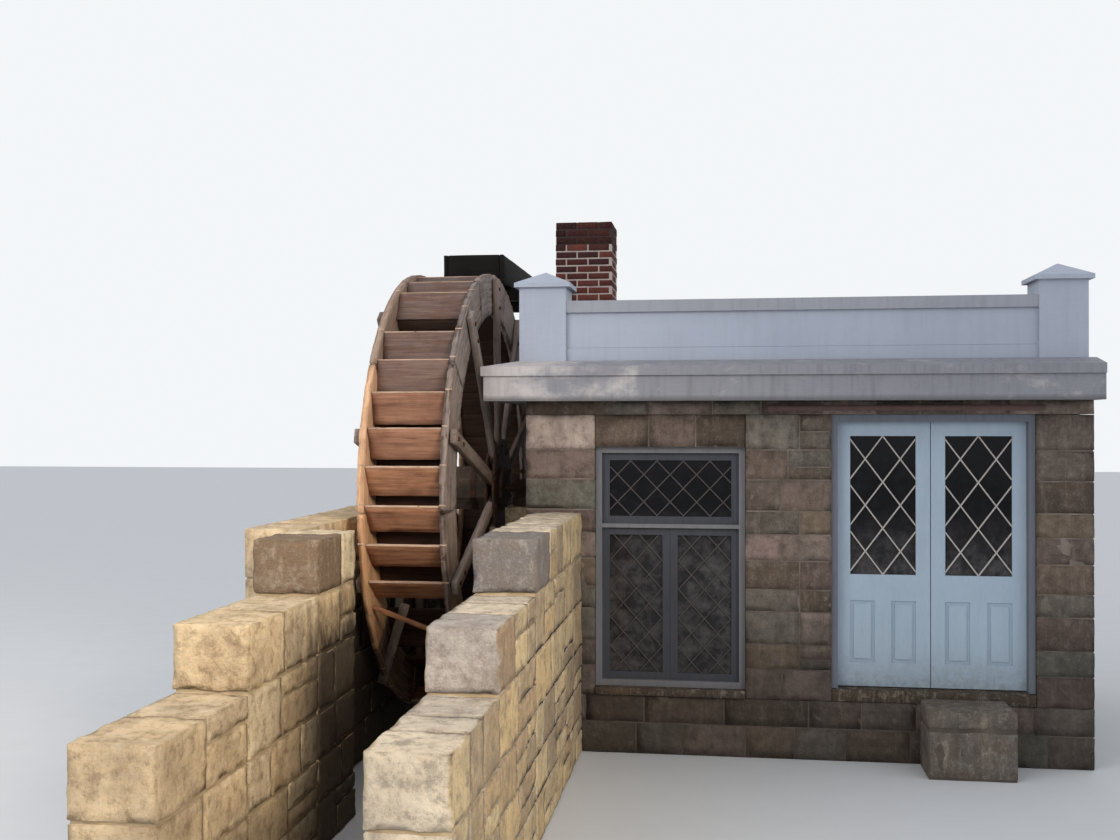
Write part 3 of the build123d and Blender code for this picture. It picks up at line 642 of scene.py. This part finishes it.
def house_walls():
    fine = {"joint": 0.005, "proud": 0.008, "rough": 0.006, "bevel": 0.004, "lumps": 12.0}
    masonry("front_base_stones", "front_base_course", course_levels(BASE, BASE_TOP, [0.24]), 0.35, 0.65,
            SANDSTONE, **fine)
    masonry("front_pier_stones", "front_piers", FRONT_LEVELS, 0.24, 0.58, SANDSTONE, split=0.2, cell=0.045,
            tones={(0, 9): ODD_AND_SHADED}, **fine)
    masonry("window_lintel_stones", "window_lintel", [], 0.35, 0.6, SANDSTONE, **fine)
    masonry("front_top_stones", "front_top_course", [TOP_JOINT], 0.26, 0.62, SANDSTONE, cell=0.045, **fine)
    masonry("left_wall_stones", "left_wall", SIDE_LEVELS, 0.28, 0.6, SANDSTONE, along=1, cell=0.10, **fine)
    masonry("rear_wall_stones", "rear_wall", SIDE_LEVELS, 0.30, 0.65, SANDSTONE, cell=0.11, **fine)
    masonry("party_wall_stones", "party_wall_right", SIDE_LEVELS, 0.28, 0.6, SANDSTONE, along=1, cell=0.11,
            **fine)
    masonry("sill_stones", "sills", [], 2.0, 3.0, DARK_SILL, bevel=0.006, rough=0.004)
    masonry("door_step_stones", "door_step", [STEP_JOINT], 0.7, 0.9, FLAGSTONE, bevel=0.02, rough=0.008)


def door_head_board():
    """The thin reddish strip that shows over the door, under the cornice."""
    pile = Pile("door_head_board")
    x0, x1 = extents("door_frame")[:2]
    past_left, past_right = 0.48, 0.06
    block_between(pile, x0 - past_left, x1 + past_right, -0.022, 0.0, 2.108, 2.150, cell=0.1, bevel=0.004,
                  rough=0.003)
    pile.build("mill", [HEAD_PAINT])


def water_walls():
    big = {"joint": 0.004, "proud": 0.019, "rough": 0.016, "bevel": 0.011, "lumps": 8.0, "mortar": PALE_MORTAR}
    stepped = {"along": 1, "cell": 0.034, "split": 0.45, **big}
    # The first blocks of the upper courses get given tones; the top one on each wall stands out dark, as
    # painted shade.
    masonry("tailrace_right_stones", "tailrace_wall_right", WATER_LEVELS, 0.28, 0.62, GRANITE,
            tones={(0, 3): 0.9, (1, 4): 0.0, (2, 5): ODD_AND_SHADED}, **stepped)
    masonry("tailrace_left_stones", "tailrace_wall_left", WATER_LEVELS, 0.28, 0.62, OCHRE_STONE,
            tones={(0, 3): 0.5, (1, 4): 0.4, (2, 5): ODD_AND_SHADED}, **stepped)
    masonry("wheel_pit_stones", "wheel_pit_wall", WATER_LEVELS, 0.40, 0.8, OCHRE_STONE, along=1, cell=0.05,
            **big)
    masonry("bearing_pier_stones", "bearing_pier_right", WATER_LEVELS, 0.6, 0.9, OCHRE_STONE, cell=0.05, **big)


# Bricks: one with its joint, along and up the stack, its depth into it, and the joint. The flue is square.
BRICK_PITCH, BRICK_RISE, BRICK_DEPTH, BRICK_JOINT = 0.207, 0.0677, 0.098, 0.010
FLUE = 0.230
BRICK_PROUD = 0.005
SHORTEST_BRICK = 0.03


def chimney_bricks(name, node, brick, mortar):
    """A square stack in running bond round its open flue, on a core of mortar."""
    x0, x1, y0, y1, z0, z1 = extents(node)
    thick = (x1 - x0 - FLUE) / 2
    pile = Pile(name)
    walls = ((x0, x1, y0, y0 + thick), (x0, x1, y1 - thick, y1),
             (x0, x0 + thick, y0 + thick, y1 - thick), (x1 - thick, x1, y0 + thick, y1 - thick))
    for a, b, c, e in walls:
        block_between(pile, a + (BRICK_PROUD if a == x0 else 0), b - (BRICK_PROUD if b == x1 else 0),
                      c + (BRICK_PROUD if c == y0 else 0), e - (BRICK_PROUD if e == y1 else 0),
                      z0, z1 - 0.004, cell=ONE_CELL, bevel=0.0005, tone=0.5, slot=1)
    rows = round((z1 - z0) / BRICK_RISE)
    step = (z1 - z0) / rows
    sides = ((True, y0, y0 + BRICK_DEPTH), (True, y1 - BRICK_DEPTH, y1),
             (False, x0, x0 + BRICK_DEPTH), (False, x1 - BRICK_DEPTH, x1))
    for row in range(rows):
        low, high = z0 + row * step + BRICK_JOINT / 2, z0 + (row + 1) * step - BRICK_JOINT / 2
        if row == rows - 1:
            high = z1
        offset = BRICK_PITCH / 2 if row % 2 else 0.0
        for wide, y_in, y_out in sides:
            start, end = (x0, x1) if wide else (y0 + BRICK_DEPTH, y1 - BRICK_DEPTH)
            place = start - (offset if wide else BRICK_PITCH - offset)
            while place < end - 0.01:
                s = max(place + BRICK_JOINT / 2, start)
                e = min(place + BRICK_PITCH - BRICK_JOINT / 2, end)
                if e - s > SHORTEST_BRICK:
                    spread = (s, e, y_in, y_out) if wide else (y_in, y_out, s, e)
                    block_between(pile, *spread, low, high, cell=0.06, bevel=0.004, rough=0.003, lumps=30.0)
                place += BRICK_PITCH
    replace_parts(pile.build("mill", [brick, mortar]), node)


def bare_cad_materials():
    """CAD nodes that keep their own shape get the finish of their kind."""
    finishes = {"floor_slab": FLAGSTONE, "roof_joists": SHADED_WOOD, "roof_deck": ROOF_COVER,
                "cornice_fascia": CORNICE_PAINT, "cornice_crown": CORNICE_PAINT,
                "parapet_panels": PARAPET_PAINT, "parapet_rails": RAIL_PAINT, "parapet_posts": PARAPET_PAINT,
                "parapet_caps": PARAPET_PAINT, "door_frame": CASING_PAINT, "left_door_leaf": DOOR_PAINT,
                "right_door_leaf": DOOR_PAINT, "left_door_glass": GLASS, "right_door_glass": GLASS,
                "window_glass": GLASS, "door_hinge_pins": IRON, "window_frame": WINDOW_PAINT,
                "window_sashes": SASH_PAINT, "wheel_gudgeons": IRON, "wheel_flanges": IRON,
                "wheel_shaft": SHAFT_TIMBER, "wheel_bearings": SHADED_WOOD}
    for node, material in finishes.items():
        mesh = NODES[node].data
        mesh.materials.clear()
        mesh.materials.append(material)


def bar_between(pile, a, b, width, depth):
    """A straight bar on a pane, from a to b, both in house coordinates and on one vertical plane."""
    a, b = at(*a), at(*b)
    run = b - a
    turn = run.to_track_quat("X", "Y").to_matrix().to_4x4()
    pile.add((run.length, depth, width), Matrix.Translation((a + b) / 2) @ turn, cell=ONE_CELL, bevel=0.002)


def clip(ends, x0, x1):
    """Keeps the stretch of a slanted line between two upright lines."""
    (ax, az), (bx, bz) = sorted(ends)
    if bx <= x0 or ax >= x1:
        return None
    rise = (bz - az) / (bx - ax)
    if ax < x0:
        az, ax = az + (x0 - ax) * rise, x0
    if bx > x1:
        bz, bx = bz - (bx - x1) * rise, x1
    return [[ax, az], [bx, bz]]


SHORTEST_BAR = 0.03
BAR_LAP = 0.0015  # how far the bars that fall to the right lie in front of the others


def lattice(name, body, pane, across, rows, width, depth, face, material):
    """Diamond glazing bars over one pane: across diamonds wide and rows high, clipped at its edges."""
    x0, x1, z0, z1 = pane
    dx, dz = (x1 - x0) / across, (z1 - z0) / rows
    slope = dz / dx
    pile = Pile(name)
    count = int(across + rows) + 3
    for sign in (1, -1):
        y = face if sign > 0 else face - BAR_LAP
        for i in range(-count, count):
            middle = (x0 + x1) / 2 + (i + 0.5) * dx
            clipped = clip([[middle + sign * (z - (z0 + z1) / 2) / slope, z] for z in (z0, z1)], x0, x1)
            if clipped is not None and math.dist(*clipped) >= SHORTEST_BAR:
                (ax, az), (bx, bz) = clipped
                bar_between(pile, (ax, y, az), (bx, y, bz), width, depth)
    pile.build(body, [material], smooth=False)


def door_and_window_bars():
    """Diamond bars on the door's two panes and the window's three, of which the upper one is wide."""
    for side in ("left", "right"):
        x0, x1, y0, _, z0, z1 = extents(side + "_door_glass")
        lattice(side + "_door_lattice", side + "_door", (x0, x1, z0, z1), 1.87, 3.0, 0.016, 0.010,
                y0 - 0.006, BAR_PAINT)
    for i, (x0, x1, y0, _, z0, z1) in enumerate(solids("window_glass")):
        across, rows = (4.6, 2.05) if x1 - x0 > 0.6 else (2.05, 4.75)
        lattice("window_lattice_%d" % i, "mill", (x0, x1, z0, z1), across, rows,
                0.013, 0.009, y0 - 0.0055, SASH_BAR)


SHAFT = extents("wheel_gudgeons")
HUB_Y, HUB_Z = (SHAFT[2] + SHAFT[3]) / 2, (SHAFT[4] + SHAFT[5]) / 2
RING = extents("wheel_rings")
WHEEL_R = (RING[5] - RING[4]) / 2
RING_IN, RING_T = 1.470, 0.055  # inner radius and thickness of the rings
ARMS, FIRST_ARM = 10, 87.0
ARM_STEP = 360 / ARMS
ARM_ROOT, ARM_TIP, ARM_T, ARM_W = 0.215, 1.790, 0.050, 0.110  # radii, thickness and width
BUCKETS, FIRST_BUCKET, LIP_TURN = 40, 82.5, 0.72  # a front board turns by this part of a step to the rim
BUCKET_STEP = 360 / BUCKETS
NUT_RADII, RING_NUT = (1.54, 1.70), (0.028, 0.012, 0.028)
BOLT_R, FLANGE_NUT = 0.36, (0.026, 0.012, 0.026)
SHAFT_SIDES, BAND_R, BAND, BAND_PLACES = 8, 0.182, (0.154, 0.05, 0.006), (-0.90, -0.56)
WHOLE_BOARD = 0.1  # front boards wider than this are whole


def wheel_place(r, degrees, x):
    """A frame on the wheel: X along the rim towards larger angles, Y along the axle, Z away from the hub."""
    a = math.radians(degrees)
    out = Vector((0, -math.cos(a), math.sin(a)))
    along = Vector((0, math.sin(a), math.cos(a)))
    axle = out.cross(along)
    m = Matrix((along, axle, out)).transposed().to_4x4()
    m.translation = at(x, HUB_Y, HUB_Z) + out * r
    return m


def height_tone(height):
    """The tone of a board by its place at rest, given as -1 at the wheel's foot to 1 at its crown. The ramps
    of the left ring and the front boards make it darker at the foot and the crown: painted shade, on the
    boards' foot partly dampness too.
    """
    return min(1.0, max(0.0, 0.42 + 0.5 * height + random.uniform(-0.12, 0.12)))


def ring_boards(name, x0, material, ragged):
    """A ring of felloes with rounded, ragged edges, whose grain follows the rim, and the ends of the front
    boards over it, painted pale as a highlight."""
    pile = Pile(name)
    step = math.radians(ARM_STEP)
    height, middle = WHEEL_R - RING_IN, (WHEEL_R + RING_IN) / 2
    origin = Matrix.Translation(at(x0 + RING_T / 2, HUB_Y, HUB_Z))
    for i in range(ARMS):
        centre = math.radians(FIRST_ARM) + step * (i + 1)

        def bend(p, centre=centre):
            a = centre + p.x / middle * 0.998
            r = middle + p.z
            return Vector((p.y, -r * math.cos(a), r * math.sin(a)))

        pile.add((step * middle - 0.004, RING_T, height), origin, cell=0.032, bevel=0.006,
                 rough=ragged, lumps=22.0, bend=bend, tone=height_tone(math.sin(centre)))
    for i in range(BUCKETS):
        angle = FIRST_BUCKET + LIP_TURN * BUCKET_STEP + i * BUCKET_STEP
        place = wheel_place(WHEEL_R - 0.007, angle, x0 + RING_T / 2)
        pile.add((0.014, RING_T - 0.004, 0.008), place, cell=0.02, bevel=0.002, rough=0.002, lumps=40.0,
                 tone=random.random(), slot=1)
    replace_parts(pile.build("wheel", [material, LIP_HIGHLIGHT_TIMBER]), "wheel_rings")


def wheel_arms():
    """The arms, with square nuts where they cross the rings and round the flanges, and the shaft's bands."""
    x0, x1 = extents("wheel_arms")[:2]
    pile, nuts = Pile("wheel_arm_timbers"), Pile("wheel_nuts")
    turn = Matrix.Rotation(math.radians(90), 4, "Y")
    for x, out in ((x0, -1), (x1, 1)):
        for i in range(ARMS):
            angle = FIRST_ARM + i * ARM_STEP
            place = wheel_place((ARM_ROOT + ARM_TIP) / 2, angle, x - out * ARM_T / 2)
            pile.add((ARM_TIP - ARM_ROOT, ARM_T, ARM_W), place @ turn, cell=0.09, bevel=0.006, rough=0.005,
                     lumps=12.0)
            for r in NUT_RADII:
                nuts.add(RING_NUT, wheel_place(r, angle, x + out * 0.004), cell=ONE_CELL, bevel=0.003)
            nuts.add(FLANGE_NUT, wheel_place(BOLT_R, angle, x + out * 0.018), cell=ONE_CELL, bevel=0.003)
    for x in BAND_PLACES:
        for i in range(SHAFT_SIDES):
            nuts.add(BAND, wheel_place(BAND_R, i * 360 / SHAFT_SIDES, x), cell=ONE_CELL, bevel=0.001)
    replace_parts(pile.build("wheel", [GREY_TIMBER]), "wheel_arms")
    nuts.build("wheel", [IRON], smooth=False)


def board_frame(points):
    """Reads a board off its solid's corners. Gives its frame, with X along the axle, Y along the long side
    of its section and away from the hub, and Z through it, then its three sizes and its centre."""
    left = points[points[:, 0] < points[:, 0].min() + 0.001]
    right = points[points[:, 0] > points[:, 0].max() - 0.001]
    ends = [Vector(e.mean(0)) for e in (left, right)]
    ring = sorted((Vector(c) for c in left), key=lambda c: math.atan2(c.z - ends[0].z, c.y - ends[0].y))
    run, across = ring[1] - ring[0], ring[-1] - ring[0]
    if across.length > run.length:
        run, across = across, run
    centre = (ends[0] + ends[1]) / 2
    if run.dot(centre - Vector((centre.x, HUB_Y, HUB_Z))) < 0:
        run = -run
    axle = (ends[1] - ends[0]).normalized()
    thick = axle.cross(run).normalized()
    m = Matrix((axle, thick.cross(axle), thick)).transposed().to_4x4()
    m.translation = ORIGIN + centre
    return m, ((ends[1] - ends[0]).length, run.length, across.length), centre


def wheel_boards():
    """Sole, start and front boards, read off the CAD solids so that lost ones stay lost. Whole front boards
    get a lip, painted pale as a highlight."""
    kinds = (("wheel_sole", "wheel_sole_boards", [INNER_SHADE_TIMBER], 0.0015),
             ("wheel_start_boards", "wheel_start_planks", [INNER_SHADE_TIMBER], 0.003),
             ("wheel_front_boards", "wheel_front_planks", [BUCKET_SHADED_TIMBER, LIP_HIGHLIGHT_TIMBER], 0.004))
    for node, name, materials, rough in kinds:
        pile = Pile(name)
        for points in pieces(node):
            place, (length, width, thick), centre = board_frame(points)
            height = math.sin(math.atan2(centre.z - HUB_Z, HUB_Y - centre.y))
            pile.add((length, width, thick), place, cell=0.05, bevel=0.004, rough=rough, lumps=16.0,
                     tone=height_tone(height))
            if node == "wheel_front_boards" and width > WHOLE_BOARD:
                lip = place @ Matrix.Translation((0, width / 2 - 0.006, 0))
                pile.add((length, 0.012, thick + 0.001), lip, cell=0.06, bevel=0.004, rough=0.002,
                         lumps=30.0, slot=1)
        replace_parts(pile.build("wheel", materials), node)


def loose_batten():
    """A broken board that hangs from the last whole bucket and leans on the left ring."""
    pile = Pile("loose_batten")
    top = wheel_place(1.69, -27.5, -0.785).translation
    foot = wheel_place(1.850, -52.0, -1.075).translation
    along = (foot - top).normalized()
    side = along.cross(Vector((1, 0, 0))).normalized()
    m = Matrix((along, side.cross(along), side)).transposed().to_4x4()
    m.translation = (top + foot) / 2
    pile.add(((foot - top).length, 0.074, 0.018), m, cell=0.06, bevel=0.003, rough=0.004, lumps=14.0)
    pile.build("wheel", [GREY_TIMBER])


def flume(name, node):
    """Replaces plain timbers of the flume by worn ones of the same size."""
    pile = Pile(name)
    for box in solids(node):
        block_between(pile, *box, cell=0.12, bevel=0.006, rough=0.004, lumps=10.0)
    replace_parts(pile.build("mill", [SHADED_DARK_TIMBER]), node)


CAMERA_PLACE = (1.584, -9.32, 2.0)
CAMERA_YAW, CAMERA_PITCH, LENS, SENSOR = 8.0, 0.24, 38.57, 36.0
FLOOR_SIZE, FLOOR_Z = 60.0, -0.002

# Lamps: name, size, place and aim in house coordinates, energy, spread in degrees, colour.
LAMPS = (("key", 3.0, (6.4, -9.5, 5.6), (-1.7, -1.4, 0.6), 52.0, 38.0, (1.0, 0.88, 0.72)),
         ("fill", 7.0, (-6.0, -9.5, 6.0), (0.4, -0.5, 1.0), 480.0, 180.0, (0.97, 0.97, 1.0)))


def set_camera(scene):
    scene.view_settings.view_transform = "Standard"
    camera = bpy.data.objects.new("camera", bpy.data.cameras.new("camera"))
    camera.data.lens, camera.data.sensor_width = LENS, SENSOR
    camera.location = at(*CAMERA_PLACE)
    camera.rotation_euler = (math.radians(90 + CAMERA_PITCH), 0, math.radians(CAMERA_YAW))
    scene.collection.objects.link(camera)
    scene.camera = camera


def lay_floor(scene):
    mesh = bpy.data.meshes.new("floor")
    corners = [(x * FLOOR_SIZE, y * FLOOR_SIZE, FLOOR_Z) for x, y in ((-1, -1), (1, -1), (1, 1), (-1, 1))]
    mesh.from_pydata(corners, [], [(0, 1, 2, 3)])
    floor = bpy.data.objects.new("floor", mesh)
    scene.collection.objects.link(floor)
    n = Nodes("pale_floor")
    base = n.wash((0.62, 0.62, 0.62), n.noise(n.place(), 3.0, 4.0), 0.3, 0.7, 0.4, (0.58, 0.58, 0.58))
    n.feed(n.shader.inputs["Base Color"], base)
    n.shader.inputs["Roughness"].default_value = 0.9
    mesh.materials.append(n.mat)


def light_world(scene):
    """Soft light from all around. The camera, glossy surfaces and glass see a paler background."""
    world = bpy.data.worlds.new("studio")
    scene.world = world
    world.use_nodes = True
    tree = world.node_tree
    tree.nodes.clear()
    out = tree.nodes.new("ShaderNodeOutputWorld")
    mix = tree.nodes.new("ShaderNodeMixShader")
    for socket, colour, strength in ((1, (0.88, 0.93, 1.0, 1), 0.90), (2, (0.90, 0.92, 0.94, 1), 1.0)):
        background = tree.nodes.new("ShaderNodeBackground")
        background.inputs["Color"].default_value = colour
        background.inputs["Strength"].default_value = strength
        tree.links.new(background.outputs["Background"], mix.inputs[socket])
    path = tree.nodes.new("ShaderNodeLightPath")
    seen_by = path.outputs["Is Camera Ray"]
    for kind in ("Is Glossy Ray", "Is Transmission Ray"):
        most = tree.nodes.new("ShaderNodeMath")
        most.operation = "MAXIMUM"
        tree.links.new(seen_by, most.inputs[0])
        tree.links.new(path.outputs[kind], most.inputs[1])
        seen_by = most.outputs[0]
    tree.links.new(seen_by, mix.inputs["Fac"])
    tree.links.new(mix.outputs["Shader"], out.inputs["Surface"])


def hang_lamps(scene):
    for name, size, place, aim, energy, spread, colour in LAMPS:
        lamp = bpy.data.objects.new(name, bpy.data.lights.new(name, "AREA"))
        lamp.data.size, lamp.data.energy, lamp.data.color = size, energy, colour
        lamp.data.spread = math.radians(spread)
        lamp.location = at(*place)
        lamp.rotation_euler = (at(*aim) - lamp.location).to_track_quat("-Z", "Y").to_euler()
        scene.collection.objects.link(lamp)


house_walls()
door_head_board()
water_walls()
chimney_bricks("chimney_stack_bricks", "chimney_stack", BRICK, BRICK_MORTAR)
chimney_bricks("chimney_cap_bricks", "chimney_cap", SOOT_BRICK, SOOT_MORTAR)
bare_cad_materials()
door_and_window_bars()
# The left ring's timber is painted sunlit.
ring_boards("wheel_ring_left", RING[0], SUNLIT_AND_SHADED_TIMBER, 0.009)
ring_boards("wheel_ring_right", RING[1] - RING_T, GREY_TIMBER, 0.014)
wheel_arms()
wheel_boards()
loose_batten()
flume("flume_boards", "flume_trough")
flume("flume_bearer_timbers", "flume_bearers")
flume("flume_post_timbers", "flume_posts")
for set_up in (set_camera, lay_floor, light_world, hang_lamps):
    set_up(bpy.context.scene)
